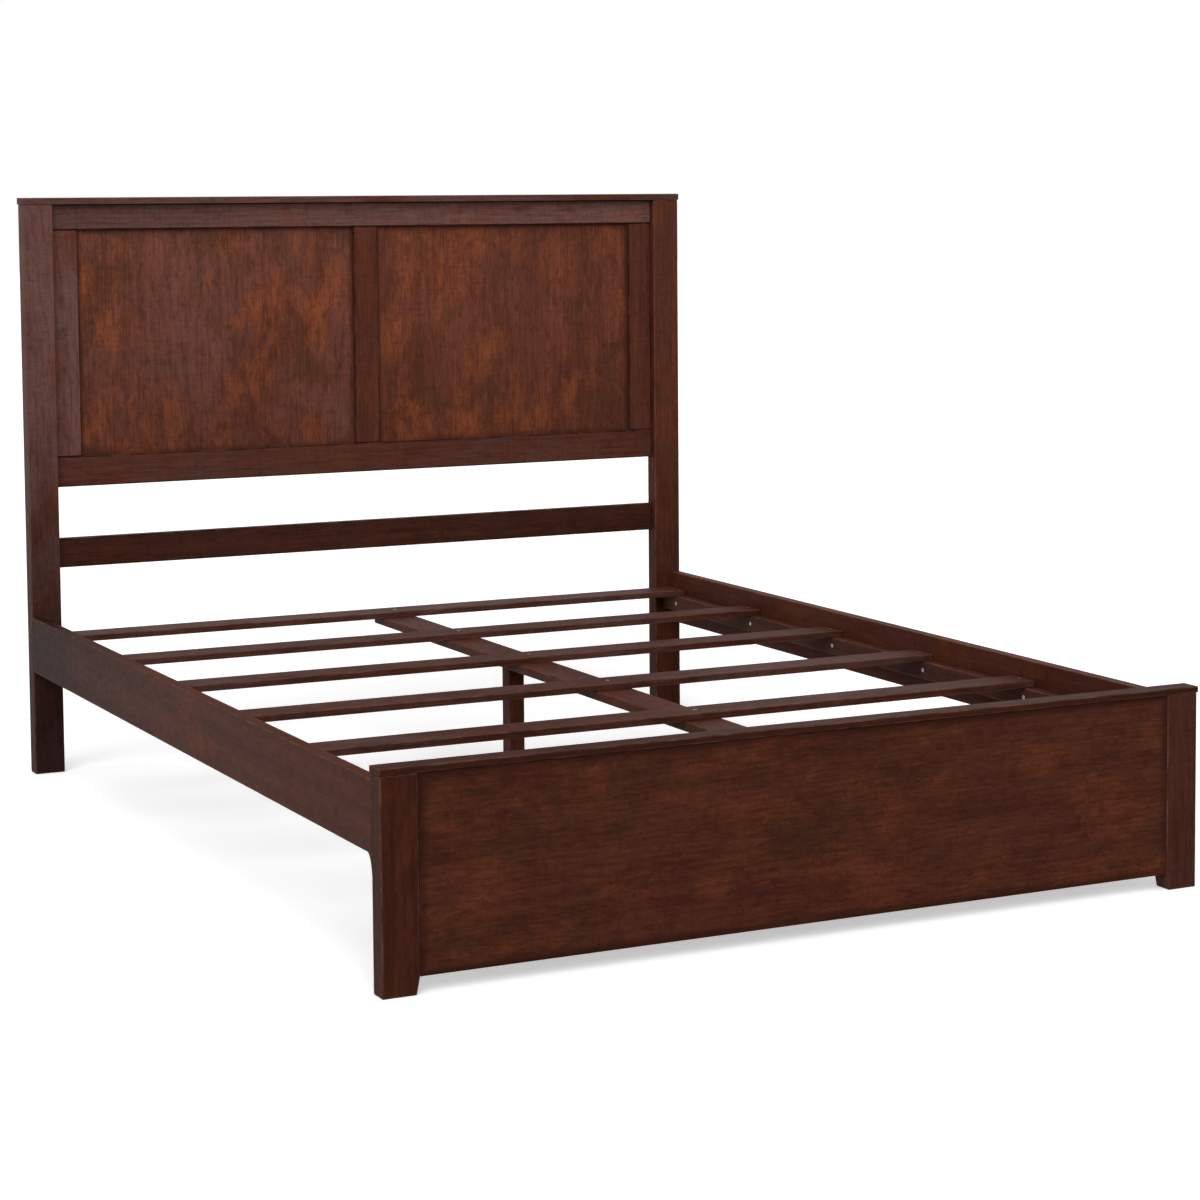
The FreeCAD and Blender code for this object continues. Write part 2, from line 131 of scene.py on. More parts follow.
class BedScrews(bpy.types.PropertyGroup):
    """Sizes of the wood screws and of the screw foot's thread."""

    head_radius: length_setting("Head radius", "Radius of the countersunk head", 0.0042)
    head_depth: length_setting("Head depth", "Height of the countersunk head", 0.0022)
    shank_radius: length_setting("Shank radius", "Radius of the shank", 0.002)
    proud: length_setting("Proud", "How far a head stands above the wood", 0.0003, least=0)
    recess_width: length_setting("Recess width", "Width of the cross recess", 0.0011)
    recess_depth: length_setting("Recess depth", "Depth of the cross recess", 0.0012)
    thread_pitch: length_setting("Thread pitch", "Pitch of the screw foot's thread", 0.00125)


class BedStage(bpy.types.PropertyGroup):
    """Camera, floor and lights."""

    eye: bpy.props.FloatVectorProperty(
        name="Eye", description="Where the camera stands",
        subtype="TRANSLATION", size=3, default=(-2.5163, -5.4862, 1.3065))
    heading: angle_setting("Heading", "How far the camera turns from +Y towards +X", 27.80)
    tilt: angle_setting("Tilt", "How far the camera looks up", -4.74)
    roll: angle_setting("Roll", "How far the camera leans", -0.26)
    lens: bpy.props.FloatProperty(
        name="Lens", description="Focal length on a 36 mm sensor, in millimetres", min=1, default=89.64)
    shift_x: bpy.props.FloatProperty(
        name="Shift X", description="Sideways lens shift that frames the bed", default=-0.1)
    shift_y: bpy.props.FloatProperty(
        name="Shift Y", description="Upward lens shift that frames the bed", default=-0.1417)
    room_light: strength_setting("Room light", "Strength of the even light from all round", 0.45)
    key_light: strength_setting("Key light", "Strength of the large soft light from the front left", 2.0)
    fill_light: strength_setting("Fill light", "Strength of the soft light from above", 0.35)
    head_light: strength_setting(
        "Head light", "Power in watts of the soft spot that lights the top of the headboard", 60.0)
    floor_bounce: share_setting(
        "Floor bounce", "Share of the light that the floor sends back up to the bed", 0.30)
    floor_glow: share_setting(
        "Floor glow", "White that the camera sees on the floor even in the bed's shadow", 0.30)


class BedSettings(bpy.types.PropertyGroup):
    """All the bed's sizes and colours."""

    finish: bpy.props.PointerProperty(type=BedFinish)
    boards: bpy.props.PointerProperty(type=BedBoards)
    screws: bpy.props.PointerProperty(type=BedScrews)
    stage: bpy.props.PointerProperty(type=BedStage)


# ---------------------------------------------------------------- node helpers

def put(tree, target, value):
    """Link an output to an input, or set the input's own value."""
    if isinstance(value, bpy.types.NodeSocket):
        tree.links.new(value, target)
    else:
        target.default_value = value


def add_node(tree, kind, inputs=None, label="", **settings):
    """New node with its settings, and with its inputs linked or set by name or number."""
    node = tree.nodes.new(kind)
    node.label = label
    for name, value in settings.items():
        setattr(node, name, value)
    for name, value in (inputs or {}).items():
        put(tree, node.inputs[name], value)
    return node


def maths(tree, operation, a, b=0.0, clamp=False):
    """Result of one sum on numbers or sockets."""
    return add_node(tree, "ShaderNodeMath", {0: a, 1: b}, operation=operation, use_clamp=clamp).outputs[0]


def times(tree, a, b, clamp=False):
    """Product of two numbers or sockets."""
    return maths(tree, "MULTIPLY", a, b, clamp)


def spread(tree, value, low, high, to_low=0.0, to_high=1.0):
    """Value stretched smoothly from one span to another."""
    node = add_node(tree, "ShaderNodeMapRange", {
        "Value": value, "From Min": low, "From Max": high, "To Min": to_low, "To Max": to_high,
    }, interpolation_type="SMOOTHSTEP")
    return node.outputs["Result"]


def mixed(tree, share, first, second, blend="MIX"):
    """Two colours mixed by a share."""
    colours = [c if isinstance(c, bpy.types.NodeSocket) else (*c[:3], 1.0) for c in (first, second)]
    node = add_node(
        tree, "ShaderNodeMix", {0: share, 6: colours[0], 7: colours[1]}, data_type="RGBA", blend_type=blend)
    return node.outputs[2]


def grain_noise(tree, place, along, across_scale, along_scale, detail, roughness, distortion=0.0):
    """Noise drawn out along the grain; scales are features per metre."""
    scale = [across_scale] * 3
    scale[along] = along_scale
    mapping = add_node(tree, "ShaderNodeMapping", {"Vector": place, "Scale": scale}, vector_type="POINT")
    noise = add_node(tree, "ShaderNodeTexNoise", {
        "Vector": mapping.outputs["Vector"],
        "Scale": 1.0,
        "Detail": detail,
        "Roughness": roughness,
        "Distortion": distortion,
    }, noise_dimensions="3D")
    return noise.outputs["Fac"]


def new_material(name):
    """Material with its node tree and its shader."""
    material = bpy.data.materials.new(name)
    material.use_nodes = True
    return material, material.node_tree, material.node_tree.nodes["Principled BSDF"]


def object_place(tree):
    """Place on the piece in object coordinates."""
    return add_node(tree, "ShaderNodeTexCoord").outputs["Object"]


def add_relief(tree, shader, height, strength, distance):
    """Bump a shader's surface by a height."""
    bump = add_node(tree, "ShaderNodeBump", {"Strength": strength, "Distance": distance, "Height": height})
    put(tree, shader.inputs["Normal"], bump.outputs["Normal"])


def scaled(tone, by):
    """Colour made lighter or darker."""
    return [channel * by for channel in tone]


# ---------------------------------------------------------------- finishes

# Each layer's features per metre across and along the grain, then its detail, roughness and distortion
WOOD_NOISE = {
    "bands": (34.0, 1.6, 4.0, 0.55, 0.25),
    "streaks": (230.0, 9.0, 4.0, 0.6),
    "fibres": (620.0, 38.0, 3.0, 0.6),
    "cross_marks": (26.0, 260.0, 3.0, 0.6),
    "clouds": (5.0, 3.4, 4.0, 0.6, 0.4),
    "patches": (14.0, 7.5, 6.0, 0.68, 0.3),
    "pools": (10.0, 7.0, 6.0, 0.66, 0.6),
    "mottle": (75.0, 42.0, 4.0, 0.65),
    "pores": (1100.0, 70.0, 2.0, 0.5),
    "rubbing_and_highlight": (90.0, 22.0, 4.0, 0.7),
}
PLANK_STEP = (3.17, -1.73, 2.41)
RING_TILT = math.radians(8)
RING_STRETCH = 0.25
WOOD_SHINE = 0.03


def growth_rings(tree, where, along, heart):
    """Wavy rings round a heart line that runs nearly along the grain."""
    turn = Euler([0.0 if axis == along else RING_TILT for axis in range(3)])
    squeeze = Vector([RING_STRETCH if axis == along else 1.0 for axis in range(3)])
    place = add_node(tree, "ShaderNodeMapping", {
        "Vector": where,
        "Location": -(turn.to_matrix() @ (Vector(heart) * squeeze)),
        "Rotation": turn,
        "Scale": squeeze,
    }, "growth figure")
    rings = add_node(tree, "ShaderNodeTexWave", {
        "Vector": place.outputs["Vector"],
        "Scale": 30.0,
        "Distortion": 14.0,
        "Detail": 3.0,
        "Detail Scale": 0.33,
        "Detail Roughness": 0.6,
    }, wave_type="RINGS", rings_direction="XYZ"[along], wave_profile="SIN")
    return rings.outputs["Fac"]


def painted_shade_along(tree, where, tone, axis, darkest, full, kept):
    """Tone with painted shade along an axis: it darkens down to the share that is kept at the darkest place.
    """
    split = add_node(tree, "ShaderNodeSeparateXYZ", {"Vector": where})
    share = spread(tree, split.outputs[axis], darkest, full, kept, 1.0)
    grey = add_node(tree, "ShaderNodeCombineColor", {0: share, 1: share, 2: share})
    return mixed(tree, 1.0, tone, grey.outputs[0], "MULTIPLY")


def edge_glaze_and_shade(tree, where, low, high, width, clouds):
    """Share of the darker glazing and painted shade that gather towards the edges of a framed panel."""
    split = add_node(tree, "ShaderNodeSeparateXYZ", {"Vector": where})
    nearest = 0.0
    for axis in (X_AXIS, Z_AXIS):
        middle = (low[axis] + high[axis]) / 2
        half = (high[axis] - low[axis]) / 2
        off_middle = maths(tree, "ABSOLUTE", maths(tree, "SUBTRACT", split.outputs[axis], middle))
        nearest = maths(tree, "MAXIMUM", nearest, spread(tree, off_middle, half - width, half))
    return times(tree, nearest, spread(tree, clouds, 0.25, 0.6, 0.45, 0.85))


def stained_wood(name, along, seed, warm, painted_sheen, shade, figure=0.3, streaks=0.5, pooled=0.3, dash=1.0,
                 mottled=0.25, jointed=False, glaze_and_shade_frame=None, heart=(0.0, 0.0, 0.0), painted_shade=None):
    """Stained and lacquered wood whose grain runs along one axis.

    Seed picks the place in the plank that the board is cut from. Warm and pooled are the strengths of
    the stain's orange and olive clouds. The strength given after warm sets the painted sheen: grey-pink
    clouds that stand in for the lacquer's reflection of the lights. Shade is the lightness, and figure,
    streaks and mottled are the strengths of the growth rings, the grain's marks and the fine dark spots.
    Dash shortens the marks.
    Jointed wood has its eased edges darkened, as glazing and painted shade in the seams between parts. The
    frame given for glazing and painted shade is a framed panel's low and high corner. Heart is a point of
    the rings' middle line. The last argument paints shade along an axis: it gives the axis, the place where
    the painted shade is darkest, the place where the tone is full, and the share of the tone that the darkest
    place keeps.
    """
    finish = bpy.context.scene.panel_bed.finish
    material, tree, shader = new_material(name)
    where = object_place(tree)
    plank_place = add_node(tree, "ShaderNodeMapping", {
        "Vector": where, "Location": [seed * step for step in PLANK_STEP],
    }, "board cut from the plank")
    noise = {}
    for layer, (across, lengthwise, *rest) in WOOD_NOISE.items():
        if layer in ("streaks", "fibres"):
            lengthwise *= dash
        noise[layer] = grain_noise(tree, plank_place.outputs["Vector"], along, across, lengthwise, *rest)
    rings = growth_rings(tree, where, along, heart)

    deep = scaled(finish.deep_tone, shade)
    body = scaled(finish.body_tone, shade)
    warm_tone = scaled(finish.warm_tone, shade)
    painted_sheen_tone = scaled(finish.painted_sheen_tone, shade)
    shadow_tone = scaled(finish.shadow_tone, shade)

    # Slow changes of the stain, and the painted sheen
    tone = mixed(tree, spread(tree, noise["bands"], 0.30, 0.70, 0.30, 1.0), deep, body)
    # Painted sheen: grey-pink clouds that stand in for the lacquer's reflection of the lights
    painted_sheen_share = times(tree, spread(tree, noise["clouds"], 0.25, 0.68), painted_sheen, clamp=True)
    tone = mixed(tree, painted_sheen_share, tone, painted_sheen_tone)
    warm_spots = spread(tree, noise["patches"], 0.42, 0.66)
    warm_spots = times(tree, warm_spots, spread(tree, noise["clouds"], 0.68, 0.40))
    tone = mixed(tree, times(tree, warm_spots, warm), tone, warm_tone)

    # Pools of stain and marks of the grain: noise, the values where each starts and is full, strength, tone
    for marks, start, full, strength, mark_tone in (
        (noise["pools"], 0.52, 0.36, pooled, shadow_tone),
        (rings, 0.55, 1.0, figure * 0.5, deep),
        (noise["streaks"], 0.50, 0.72, streaks * 0.45, warm_tone),
        (noise["streaks"], 0.50, 0.30, streaks * 0.8, deep),
        (noise["fibres"], 0.50, 0.72, streaks * 0.4, warm_tone),
        (noise["fibres"], 0.50, 0.30, streaks * 0.6, deep),
        (noise["cross_marks"], 0.50, 0.32, 0.22, deep),
        (noise["mottle"], 0.48, 0.68, mottled, deep),
    ):
        tone = mixed(tree, times(tree, spread(tree, marks, start, full), strength), tone, mark_tone)
    open_pores = spread(tree, noise["pores"], 0.36, 0.27)
    tone = mixed(tree, times(tree, open_pores, 0.65), tone, scaled(deep, 0.4))

    # Painted shade along one axis: darker where less light falls, such as low on the headboard posts and
    # panels, at the top rail's left end and at the side rails' head end
    if painted_shade:
        tone = painted_shade_along(tree, where, tone, *painted_shade)
    # Glazing and painted shade: darker towards the edges of a framed panel, where the frame shades it
    if glaze_and_shade_frame:
        glaze_and_shade = edge_glaze_and_shade(tree, where, *glaze_and_shade_frame, finish.glaze_and_shade_width, noise["clouds"])
        tone = mixed(tree, glaze_and_shade, tone, scaled(deep, 0.7))

    # Rubbed wood and painted highlight along the edges: only where the mesh says the edge is eased, broken up
    # by noise
    edge = add_node(tree, "ShaderNodeAttribute", attribute_name="eased_edge").outputs["Fac"]
    least, most = (0.0, 0.35) if jointed else (0.10, 0.65)
    wear_and_highlight = times(tree, edge, spread(tree, noise["rubbing_and_highlight"], 0.40, 0.68, least, most))
    # Jointed pieces: the eased edges darken, as glazing and painted shade in the seams between parts
    if jointed:
        tone = mixed(tree, times(tree, edge, 0.85), tone, scaled(deep, 0.25))
    put(tree, shader.inputs["Base Color"], mixed(tree, wear_and_highlight, tone, finish.wear_and_highlight_tone))

    # Duller in the open pores and on the rubbed edges
    base = finish.lacquer_roughness
    rough = spread(tree, noise["mottle"], 0.3, 0.7, base - 0.02, base + 0.04)
    rough = maths(tree, "ADD", rough, times(tree, open_pores, 0.18))
    rough = maths(tree, "ADD", rough, times(tree, wear_and_highlight, 0.08), clamp=True)
    put(tree, shader.inputs["Roughness"], rough)
    put(tree, shader.inputs["Specular IOR Level"], WOOD_SHINE)

    relief = maths(tree, "SUBTRACT", times(tree, noise["fibres"], 0.5), times(tree, open_pores, 0.6))
    relief = maths(tree, "ADD", relief, times(tree, noise["streaks"], 0.3))
    add_relief(tree, shader, relief, 0.5, finish.grain_depth)
    return material


def zinc_plate(name, tone, seed):
    """Zinc-plated steel with faint rolling marks and dull patches."""
    material, tree, shader = new_material(name)
    sheet = {"Vector": object_place(tree), "Location": (seed, -seed, seed)}
    place = add_node(tree, "ShaderNodeMapping", sheet).outputs["Vector"]
    marks = grain_noise(tree, place, Z_AXIS, 1800.0, 60.0, 3.0, 0.6)
    dull = grain_noise(tree, place, Z_AXIS, 160.0, 160.0, 4.0, 0.6)
    colour = mixed(tree, spread(tree, dull, 0.35, 0.7), scaled(tone, 0.62), tone)
    colour = mixed(tree, times(tree, spread(tree, marks, 0.5, 0.8), 0.3), colour, scaled(tone, 0.4))
    put(tree, shader.inputs["Base Color"], colour)
    put(tree, shader.inputs["Roughness"], spread(tree, dull, 0.3, 0.7, 0.30, 0.52))
    put(tree, shader.inputs["Metallic"], 1.0)
    add_relief(tree, shader, marks, 0.35, 0.00005)
    return material


def moulded_nylon(name):
    """Black nylon with a fine moulded grain and scuffs."""
    material, tree, shader = new_material(name)
    place = object_place(tree)
    grain = grain_noise(tree, place, Z_AXIS, 2200.0, 2200.0, 2.0, 0.5)
    scuffs = grain_noise(tree, place, X_AXIS, 300.0, 60.0, 4.0, 0.7)
    scuffed = times(tree, spread(tree, scuffs, 0.55, 0.75), 0.5)
    put(tree, shader.inputs["Base Color"], mixed(tree, scuffed, (0.012, 0.012, 0.013), (0.05, 0.05, 0.052)))
    put(tree, shader.inputs["Roughness"], spread(tree, scuffs, 0.4, 0.7, 0.42, 0.62))
    add_relief(tree, shader, grain, 0.3, 0.00006)
    return material


# ---------------------------------------------------------------- mesh helpers

FLAT_FACE = 0.998
EDGE_STEPS = 4
SHARP_ANGLE = math.radians(20)


def mark_eased_edges(mesh):
    """Store 1 on the corners of the narrow eased faces and 0 on the flat ones."""
    mark = mesh.attributes.get("eased_edge") or mesh.attributes.new("eased_edge", "FLOAT", "CORNER")
    values = [0.0] * len(mesh.loops)
    for face in mesh.polygons:
        flat = max(abs(part) for part in face.normal) > FLAT_FACE
        for index in face.loop_indices:
            values[index] = 0.0 if flat else 1.0
    mark.data.foreach_set("value", values)


def settled(piece):
    """Turn a piece's modifiers into plain mesh."""
    graph = bpy.context.evaluated_depsgraph_get()
    plain = bpy.data.meshes.new_from_object(piece.evaluated_get(graph), depsgraph=graph)
    piece.modifiers.clear()
    piece.data = plain
    return piece


def coated(piece, material):
    """Give a piece one finish and leave its shape as it is."""
    piece.data.materials.clear()
    piece.data.materials.append(material)


def finished(piece, material, nodes):
    """Give a wooden piece its even shading, its finish and its place in the frame."""
    coated(piece, material)
    piece.data.polygons.foreach_set("use_smooth", [True] * len(piece.data.polygons))
    soft = piece.modifiers.new("even shading", "WEIGHTED_NORMAL")
    soft.weight = 100
    settled(piece)
    mark_eased_edges(piece.data)
    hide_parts(*nodes)
    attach(piece, FIXED)


def object_from(bm, name):
    """Object at the origin that holds a finished bmesh."""
    bmesh.ops.recalc_face_normals(bm, faces=bm.faces)
    mesh = bpy.data.meshes.new(name)
    bm.to_mesh(mesh)
    bm.free()
    piece = bpy.data.objects.new(name, mesh)
    bpy.context.scene.collection.objects.link(piece)
    return piece


def ease(bm, edges, radius):
    """Round a mesh's edges."""
    bmesh.ops.bevel(bm, geom=edges, offset=radius, segments=EDGE_STEPS, profile=0.5, affect="EDGES")


def board(name, low, high, radius):
    """Sawn board with all its edges eased."""
    bm = bmesh.new()
    size = high - low
    centre = (high + low) / 2
    bmesh.ops.create_cube(bm, size=1.0, matrix=Matrix.Translation(centre) @ Matrix.Diagonal((*size, 1.0)))
    ease(bm, bm.edges[:], radius)
    return object_from(bm, name)


def skinned(bm, rings):
    """Close the bands between rings of vertices."""
    for first, second in zip(rings, rings[1:]):
        for step in range(len(first)):
            after = (step + 1) % len(first)
            bm.faces.new((first[step], first[after], second[after], second[step]))


def sawn_shape(name, outline, along, start, end, radius):
    """Board sawn to an outline; along is the axis that it is thick in."""
    across, up = [axis for axis in range(3) if axis != along]
    bm = bmesh.new()
    rings = []
    for depth in (start, end):
        ring = []
        for first, second in outline:
            place = [0.0, 0.0, 0.0]
            place[across], place[up], place[along] = first, second, depth
            ring.append(bm.verts.new(place))
        rings.append(ring)
    bm.faces.new(rings[0])
    bm.faces.new(rings[1][::-1])
    for index in range(len(outline)):
        after = (index + 1) % len(outline)
        bm.faces.new((rings[0][after], rings[0][index], rings[1][index], rings[1][after]))
    bm.normal_update()
    ease(bm, [edge for edge in bm.edges if edge.calc_face_angle(0.0) > SHARP_ANGLE], radius)
    return object_from(bm, name)


def node_box(name):
    """Lowest and highest corner of a part in the frame."""
    low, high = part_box(name)
    return Vector(low), Vector(high)


def between_posts(name):
    """Box of a headboard or footboard part without the ends that go into the posts."""
    low, high = node_box(name)
    board_end = "headboard" if name.startswith("headboard") else "footboard"
    low.x = node_box(board_end + "_left_post")[1].x
    high.x = node_box(board_end + "_right_post")[0].x
    return low, high


# ---------------------------------------------------------------- posts and caps

class BED_OT_posts(bpy.types.Operator):
    """Make the four posts"""

    bl_idname = "panel_bed.posts"
    bl_label = "Posts"

    def execute(self, context):
        boards = context.scene.panel_bed.boards
        # Columns: side, seed, shade, strength of the painted sheen, and the share of the tone that the
        # painted shade keeps at the post's foot
        for side, seed, shade, painted_sheen, kept in (("left", 1.0, 1.25, 1.3, 0.2), ("right", 2.3, 1.38, 0.15, 0.4)):
            node = "headboard_%s_post" % side
            low, high = node_box(node)
            wood = stained_wood(
                "headboard_post_wood_" + side, Z_AXIS, seed, warm=0.3, painted_sheen=painted_sheen, shade=shade,
                painted_shade=(Z_AXIS, low.z, high.z * 0.85, kept))
            finished(board(node + "_wood", low, high, boards.post_edge), wood, [node])
        # Columns: side, way inwards, seed, shade, strength of the painted sheen
        for side, inward, seed, shade, painted_sheen in (("left", 1, 4.1, 0.78, 0.08), ("right", -1, 5.7, 0.82, 0.25)):
            node = "footboard_%s_post" % side
            low, high = node_box(node)
            outer, inner = (low.x, high.x)[::inward]
            outline = [
                (outer, high.z),
                (outer, low.z),
                (inner - inward * boards.foot_taper, low.z),
                (inner, low.z + boards.foot_height),
                (inner, high.z),
            ]
            wood = stained_wood(
                "footboard_post_wood_" + side, Z_AXIS, seed, warm=0.25, painted_sheen=painted_sheen, shade=shade)
            piece = sawn_shape(node + "_wood", outline, Y_AXIS, low.y, high.y, boards.post_edge)
            finished(piece, wood, [node])
        return {"FINISHED"}


class BED_OT_caps(bpy.types.Operator):
    """Make the caps along both boards"""

    bl_idname = "panel_bed.caps"
    bl_label = "Caps"

    def execute(self, context):
        edge = context.scene.panel_bed.boards.cap_edge
        # Columns: board, seed, shade, strength of the painted sheen; the headboard's cap carries a strong one
        for end, seed, shade, painted_sheen in (("headboard", 7.2, 0.95, 2.2), ("footboard", 8.6, 0.65, 0.15)):
            node = end + "_cap"
            low, high = node_box(node)
            wood = stained_wood(node + "_wood_finish", X_AXIS, seed, warm=0.15, painted_sheen=painted_sheen, shade=shade)
            finished(board(node + "_wood", low, high, edge), wood, [node])
        return {"FINISHED"}


# ---------------------------------------------------------------- headboard

class BED_OT_headboard_frame(bpy.types.Operator):
    """Make the headboard's rails, stiles and crossbar"""

    bl_idname = "panel_bed.headboard_frame"
    bl_label = "Headboard frame"

    def execute(self, context):
        edge = context.scene.panel_bed.boards.frame_edge
        # Columns: name, seed, shade, strength of the painted sheen, and the share of the tone that the
        # painted shade keeps at the rail's left end (1 for none)
        for name, seed, shade, painted_sheen, kept in (
            ("top_rail", 11.0, 1.5, 2.2, 0.64),
            ("bottom_rail", 12.4, 1.06, 0.45, 1.0),
            ("crossbar", 13.9, 0.62, 0.3, 1.0),
        ):
            node = "headboard_" + name
            low, high = between_posts(node)
            wood = stained_wood(
                node + "_finish", X_AXIS, seed, warm=0.25, painted_sheen=painted_sheen, shade=shade, jointed=True,
                painted_shade=(X_AXIS, low.x, high.x, kept) if kept < 1.0 else None)
            finished(board(node + "_wood", low, high, edge), wood, [node])
        rail_top = node_box("headboard_bottom_rail")[1].z
        rail_under = node_box("headboard_top_rail")[0].z
        # Columns: side, seed, shade, strength of the painted sheen; the left stile carries a strong one
        for side, seed, shade, painted_sheen in (
            ("left", 15.3, 1.25, 1.7),
            ("centre", 16.2, 1.22, 0.15),
            ("right", 17.8, 1.18, 0.2),
        ):
            node = "headboard_%s_stile" % side
            low, high = node_box(node)
            low.z, high.z = rail_top, rail_under
            wood = stained_wood(
                node + "_finish", Z_AXIS, seed, warm=0.2, painted_sheen=painted_sheen, shade=shade, jointed=True)
            finished(board(node + "_wood", low, high, edge), wood, [node])
        return {"FINISHED"}


class BED_OT_headboard_panels(bpy.types.Operator):
    """Make the headboard's two flat panels"""

    bl_idname = "panel_bed.headboard_panels"
    bl_label = "Headboard panels"

    def execute(self, context):
        edge = context.scene.panel_bed.boards.panel_edge
        # Columns: side, seed, shade, strength of the painted sheen; the panels also get painted shade towards
        # their lower edge
        for side, seed, shade, painted_sheen in (("left", 21.5, 1.68, 0.40), ("right", 24.9, 1.84, 0.12)):
            node = "headboard_%s_panel" % side
            low, high = node_box(node)
            wood = stained_wood(
                node + "_finish", Z_AXIS, seed, warm=0.7, painted_sheen=painted_sheen, shade=shade, figure=0.25, streaks=0.55,
                pooled=0.75, dash=1.4, mottled=0.4, jointed=True, glaze_and_shade_frame=(low, high),
                painted_shade=(Z_AXIS, low.z - 0.1, high.z - 0.1, 0.72))
            finished(board(node + "_wood", low, high, edge), wood, [node])
        return {"FINISHED"}


# ---------------------------------------------------------------- footboard and sides

class BED_OT_footboard_panel(bpy.types.Operator):
    """Make the footboard's flat board"""

    bl_idname = "panel_bed.footboard_panel"
    bl_label = "Footboard panel"

    def execute(self, context):
        node = "footboard_panel"
        low, high = between_posts(node)
        heart = (-0.5, high.y + 0.02, low.z + 0.07)
        wood = stained_wood(
            node + "_finish", X_AXIS, 31.2, warm=0.55, painted_sheen=0.08, shade=1.05, figure=0.45, streaks=0.55,
            pooled=0.7, dash=2.6, mottled=0.45, jointed=True, glaze_and_shade_frame=(low, high), heart=heart)
        piece = board(node + "_wood", low, high, context.scene.panel_bed.boards.panel_edge)
        finished(piece, wood, [node])
        return {"FINISHED"}


def rail_outline(low, high, length, drop, steps=10):
    """Side view of a side rail in Y and Z, with the hollow curve at its foot end."""
    outline = [(low.y, high.z), (high.y, high.z), (high.y, low.z + drop)]
    for step in range(steps + 1):
        turn = math.pi / 2 * step / steps
        outline.append((low.y + length - length * math.sin(turn), low.z + drop * math.cos(turn)))
    return outline[::-1]


class BED_OT_side_rails(bpy.types.Operator):
    """Make the two side rails"""

    bl_idname = "panel_bed.side_rails"
    bl_label = "Side rails"

    def execute(self, context):
        boards = context.scene.panel_bed.boards
        # Columns: side, seed, and the share of the tone that the painted shade keeps at the rail's head end
        for side, seed, kept in (("left", 33.1, 0.3), ("right", 36.4, 0.9)):
            node = side + "_side_rail"
            low, high = node_box(node)
            outline = rail_outline(low, high, boards.rail_curve_length, boards.rail_curve_drop)
            wood = stained_wood(
                node + "_finish", Y_AXIS, seed, warm=0.35, painted_sheen=0.05, shade=1.05, streaks=0.3, mottled=0.12,
                painted_shade=(Y_AXIS, high.y, 0.0, kept))
            piece = sawn_shape(node + "_wood", outline, X_AXIS, low.x, high.x, boards.rail_edge)
            finished(piece, wood, [node])
        return {"FINISHED"}


class BED_OT_supports(bpy.types.Operator):
    """Make the ledgers, the centre beam and its leg"""

    bl_idname = "panel_bed.supports"
    bl_label = "Ledgers, beam and leg"

    def execute(self, context):
        edge = context.scene.panel_bed.boards.frame_edge
        # Columns: node, grain axis, seed, warm, strength of the painted sheen, shade, slot
        for node, along, seed, warm, painted_sheen, shade, slot in (
            ("left_slat_ledger", Y_AXIS, 41.0, 0.2, 0.3, 0.85, "ledger_wood"),
            ("right_slat_ledger", Y_AXIS, 42.7, 0.2, 0.3, 0.85, "ledger_wood"),
            ("centre_beam", Y_AXIS, 44.3, 0.25, 0.4, 0.95, "leg_wood"),
            ("centre_leg", Z_AXIS, 46.9, 0.25, 0.4, 0.95, "leg_wood"),
        ):
            low, high = node_box(node)
            wood = stained_wood(node + "_finish", along, seed, warm=warm, painted_sheen=painted_sheen, shade=shade)
            finished(board(node + "_wood", low, high, edge), wood, [node])
        return {"FINISHED"}


# ---------------------------------------------------------------- slats

def new_geometry_tree(name, inputs):
    """Geometry tree with named inputs, and the outputs of its group input by name."""
    tree = bpy.data.node_groups.new(name, "GeometryNodeTree")
    tree.interface.new_socket(name="Geometry", in_out="INPUT", socket_type="NodeSocketGeometry")
    for label, kind in inputs.items():
        tree.interface.new_socket(name=label, in_out="INPUT", socket_type="NodeSocket" + kind)
    tree.interface.new_socket(name="Geometry", in_out="OUTPUT", socket_type="NodeSocketGeometry")
    return tree, add_node(tree, "NodeGroupInput").outputs


def give_back(tree, instances, material):
    """End a geometry tree with its instances as plain mesh in one material."""
    real = add_node(tree, "GeometryNodeRealizeInstances", {"Geometry": instances})
    coat = add_node(
        tree, "GeometryNodeSetMaterial", {"Geometry": real.outputs["Geometry"], "Material": material})
    add_node(tree, "NodeGroupOutput", {"Geometry": coat.outputs["Geometry"]})


def vector(tree, **parts):
    """Vector put together from numbers or sockets."""
    return add_node(tree, "ShaderNodeCombineXYZ", parts).outputs[0]


def grown(name, tree, values, points=((0.0, 0.0, 0.0),), directions=None):
    """Plain mesh object that a geometry tree makes with these inputs."""
    mesh = bpy.data.meshes.new(name)
    mesh.from_pydata(points, [], [])
    if directions:
        facing = mesh.attributes.new("facing", "FLOAT_VECTOR", "POINT")
        facing.data.foreach_set("vector", [part for direction in directions for part in direction])
    piece = bpy.data.objects.new(name, mesh)
    bpy.context.scene.collection.objects.link(piece)
    maker = piece.modifiers.new("maker", "NODES")
    maker.node_group = tree
    sockets = {s.name: s.identifier for s in tree.interface.items_tree if s.in_out == "INPUT"}
    for label, value in values.items():
        maker[sockets[label]] = value
    return settled(piece)


